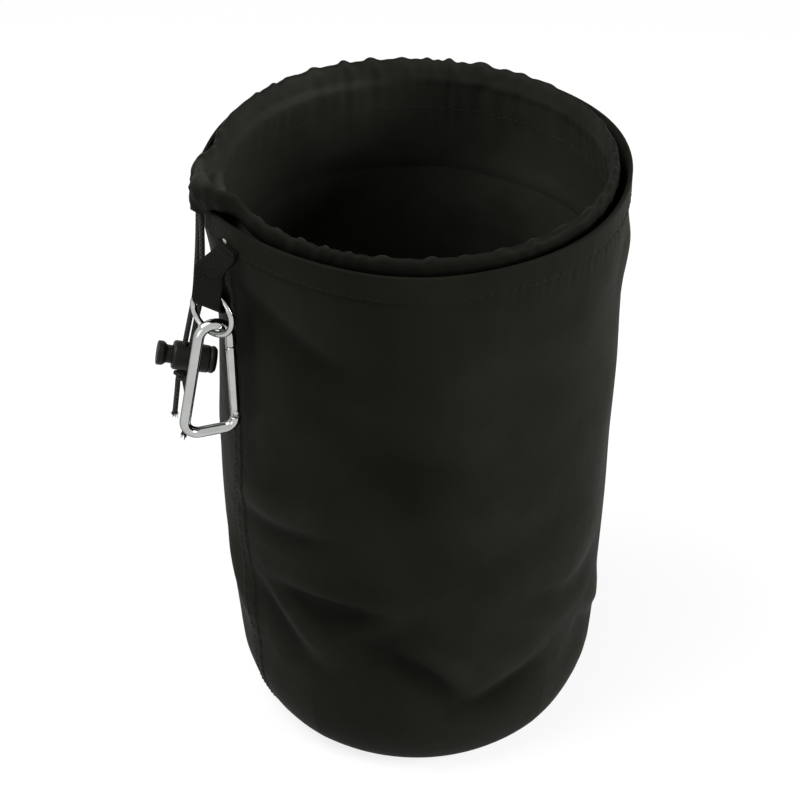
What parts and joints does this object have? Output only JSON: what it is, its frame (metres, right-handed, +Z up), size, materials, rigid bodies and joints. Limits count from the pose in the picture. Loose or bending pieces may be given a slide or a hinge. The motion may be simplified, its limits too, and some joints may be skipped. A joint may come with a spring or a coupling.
{
  "type": "peg bag",
  "caption": "Round standing cloth peg bag with a hemmed open mouth, gathered drawstring collar, spring cord lock, and a snap hook on a ring and webbing tab.",
  "frame": {"origin": "centre of the underside of the base", "axes": "+Z up along the bag, -Y is the front seen in the picture, +X to the right of the front"},
  "size_m": [0.2142, 0.19, 0.3121],
  "materials": {
    "wall_cloth": "black coated polyester with a soft sheen",
    "collar_cloth": "black lining cloth, gathered",
    "cord": "black braided cord",
    "webbing": "black woven webbing",
    "lock_plastic": "black moulded plastic",
    "steel": "polished plated steel"
  },
  "bodies": {
    "bag": {"wall_panel": "wall_cloth", "base_panel": "wall_cloth", "drawstring_collar": "collar_cloth", "drawcord_run": "cord", "drawcord_leg_front": "cord", "drawcord_leg_back": "cord", "cord_knot": "cord", "cord_tail_front": "cord", "cord_tail_back": "cord"},
    "tab": {"webbing_tab": "webbing"},
    "ring": {"tab_ring": "steel"},
    "hook": {"hook_frame": "steel", "gate_pin": "steel"},
    "gate": {"hook_gate": "steel"},
    "lock": {"lock_barrel": "lock_plastic"},
    "plunger": {"lock_plunger": "lock_plastic"}
  },
  "joints": [
    {"name": "tab_swing", "type": "hinge", "parent": "bag", "child": "tab", "pos_m": [-0.07966, -0.05173, 0.28601], "axis": [-0.5446, 0.8387, 0], "range_deg": [0, 60]},
    {"name": "ring_swing", "type": "hinge", "parent": "tab", "child": "ring", "pos_m": [-0.0884, -0.0574, 0.2661], "axis": [-0.8339, 0.5519, 0], "range_deg": [0, 20]},
    {"name": "hook_swing", "type": "hinge", "parent": "ring", "child": "hook", "pos_m": [-0.0884, -0.0574, 0.247], "axis": [-0.8339, 0.5519, 0], "range_deg": [0, 30]},
    {"name": "gate_hinge", "type": "hinge", "parent": "hook", "child": "gate", "pos_m": [-0.08174, -0.05524, 0.2032], "axis": [0.309, -0.9511, 0], "range_deg": [0, 16], "stiffness_Nm_per_rad": 0.3, "springref_deg": -11.46},
    {"name": "lock_slide", "type": "slide", "parent": "bag", "child": "lock", "axis": [0.2241, 0.0196, 0.9744], "range_m": [0, 0.007]},
    {"name": "plunger_press", "type": "slide", "parent": "lock", "child": "plunger", "axis": [0.9707, 0.0849, -0.225], "range_m": [0, 0.0026], "stiffness_N_per_m": 800, "springref_m": -0.002}
  ]
}
